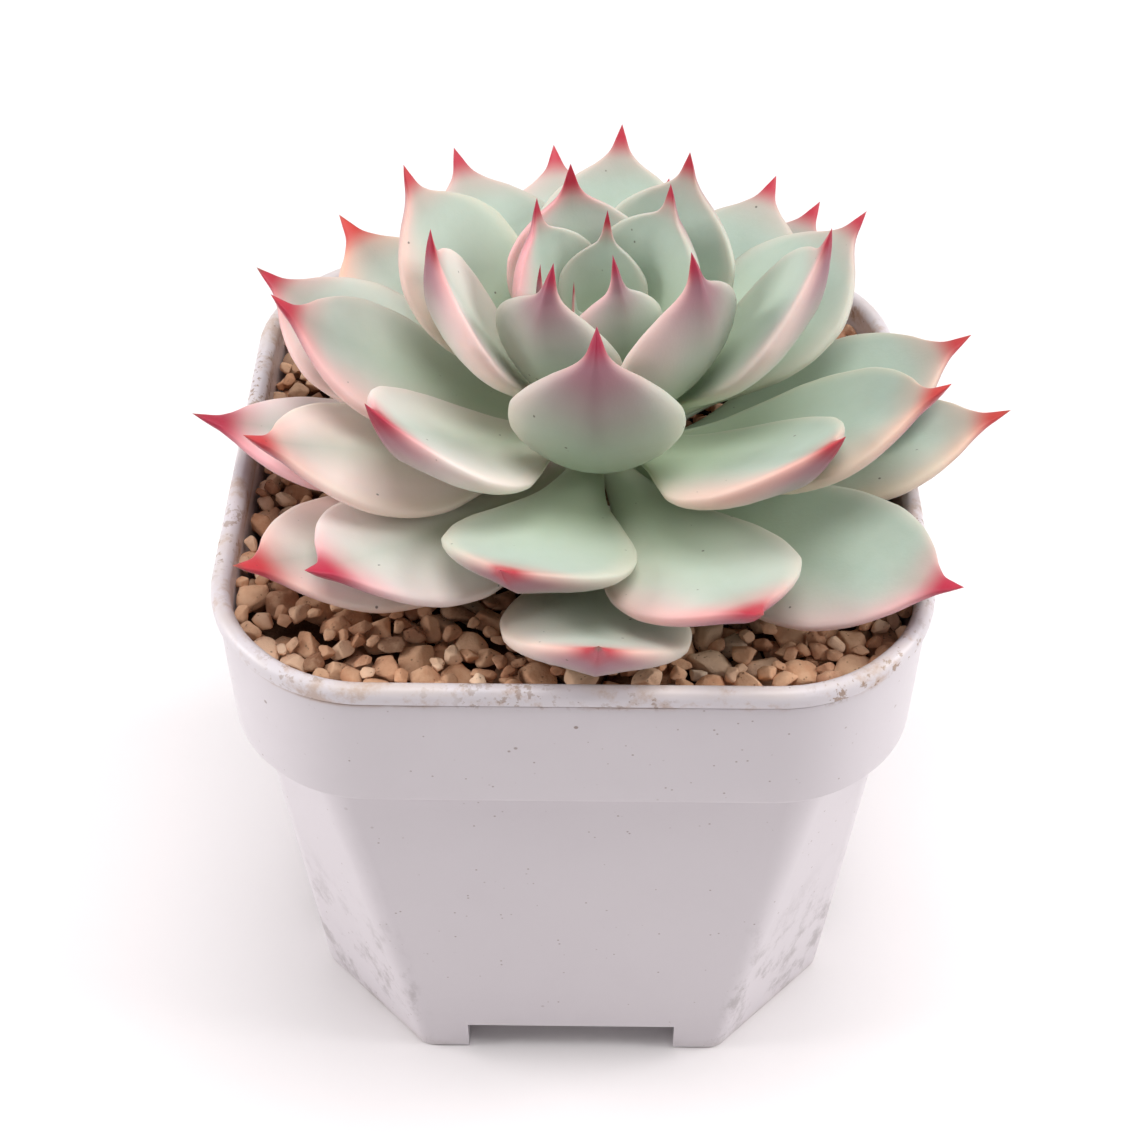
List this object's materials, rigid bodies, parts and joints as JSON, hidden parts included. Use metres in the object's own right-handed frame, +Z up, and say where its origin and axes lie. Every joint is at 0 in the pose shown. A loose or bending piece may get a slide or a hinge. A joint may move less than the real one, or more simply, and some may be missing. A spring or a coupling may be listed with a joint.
{
  "type": "potted succulent",
  "caption": "Rosette succulent with pointed, cupped, red-tipped leaves in a small square plastic nursery pot with rounded corners, dressed with tan gravel.",
  "frame": {"origin": "middle of the whole object's width and depth, on the surface that the pot stands on", "axes": "+Z up; -Y is the front, towards which the rosette leans; +X to the viewer's right"},
  "size_m": [0.0992, 0.0952, 0.1157],
  "materials": {
    "white_plastic": "slightly glossy moulded plastic with brown dust marks",
    "tan_gravel": "rough porous grains",
    "potting_soil": "dark crumbly soil",
    "plant_stem": "pale brown woody stem",
    "leaf": "powdery blue-green waxy bloom with pink margins and crimson points",
    "dried_leaf": "dry brown papery leaf"
  },
  "bodies": {
    "root": {"pot": "white_plastic", "gravel_layer": "tan_gravel", "soil": "potting_soil", "stem": "plant_stem", "leaf_01": "leaf", "leaf_02": "leaf", "leaf_03": "leaf", "leaf_04": "leaf", "leaf_05": "leaf", "leaf_06": "leaf", "leaf_07": "leaf", "leaf_08": "leaf", "leaf_09": "leaf", "leaf_10": "leaf", "leaf_11": "leaf", "leaf_12": "leaf", "leaf_13": "leaf", "leaf_14": "leaf", "leaf_15": "leaf", "leaf_16": "leaf", "leaf_17": "leaf", "leaf_18": "leaf", "leaf_19": "leaf", "leaf_20": "leaf", "leaf_21": "leaf", "leaf_22": "leaf", "leaf_23": "leaf", "leaf_24": "leaf", "leaf_25": "leaf", "leaf_26": "leaf", "leaf_27": "leaf", "leaf_28": "leaf", "leaf_29": "leaf", "leaf_30": "leaf", "leaf_31": "leaf", "leaf_32": "leaf", "leaf_33": "leaf", "leaf_34": "leaf", "leaf_35": "leaf", "leaf_36": "leaf", "leaf_37": "leaf", "dried_leaf_1": "dried_leaf", "dried_leaf_2": "dried_leaf"}
  },
  "joints": []
}
